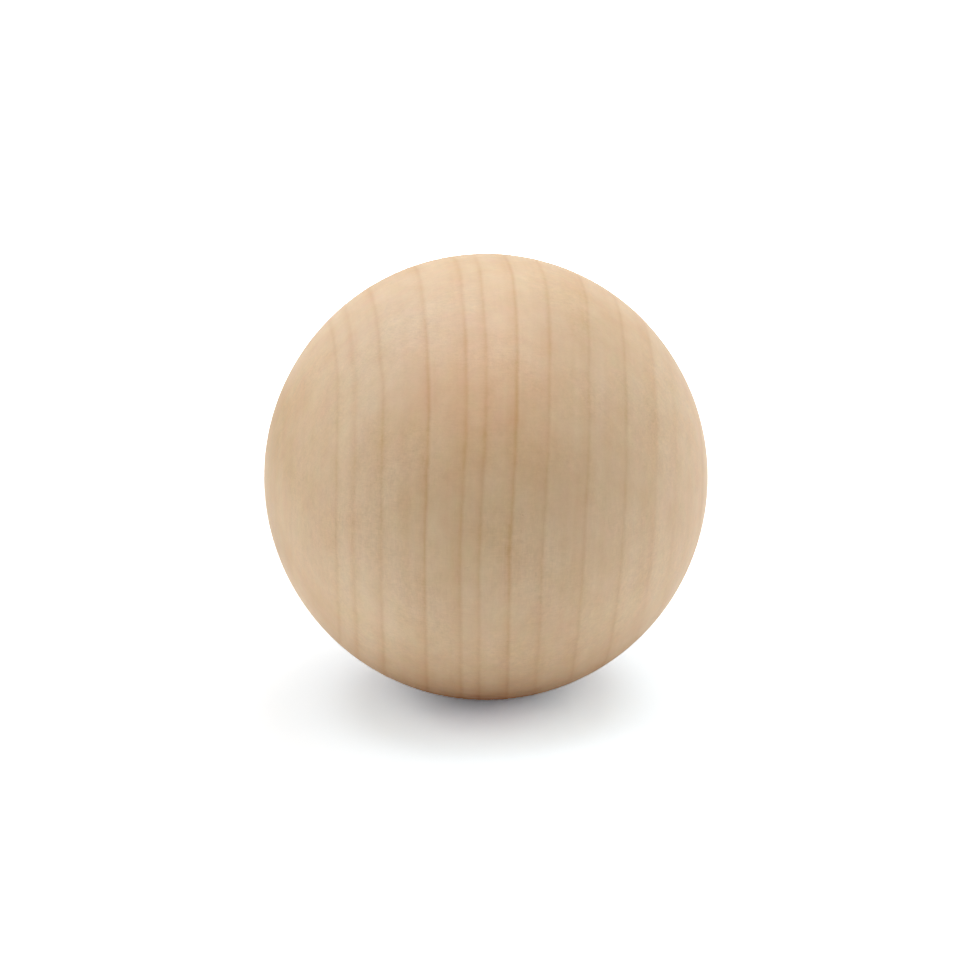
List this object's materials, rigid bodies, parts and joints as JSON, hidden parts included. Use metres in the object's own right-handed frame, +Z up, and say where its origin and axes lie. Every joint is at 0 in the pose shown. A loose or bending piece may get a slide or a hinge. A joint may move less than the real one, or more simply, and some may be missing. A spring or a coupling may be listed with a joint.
{
  "type": "wooden ball",
  "caption": "Solid turned wooden ball, smooth and unfinished with straight grain, for crafts, finials, knobs or desk play.",
  "frame": {"origin": "centre of the ball", "axes": "+Z up along the wood's grain, -Y towards the quarter-sawn side with the straight growth lines, +X along the growth rings' outward direction on that side"},
  "size_m": [0.0508, 0.0508, 0.0508],
  "materials": {
    "maple": "matte"
  },
  "bodies": {
    "root": {"ball": "maple"}
  },
  "joints": []
}
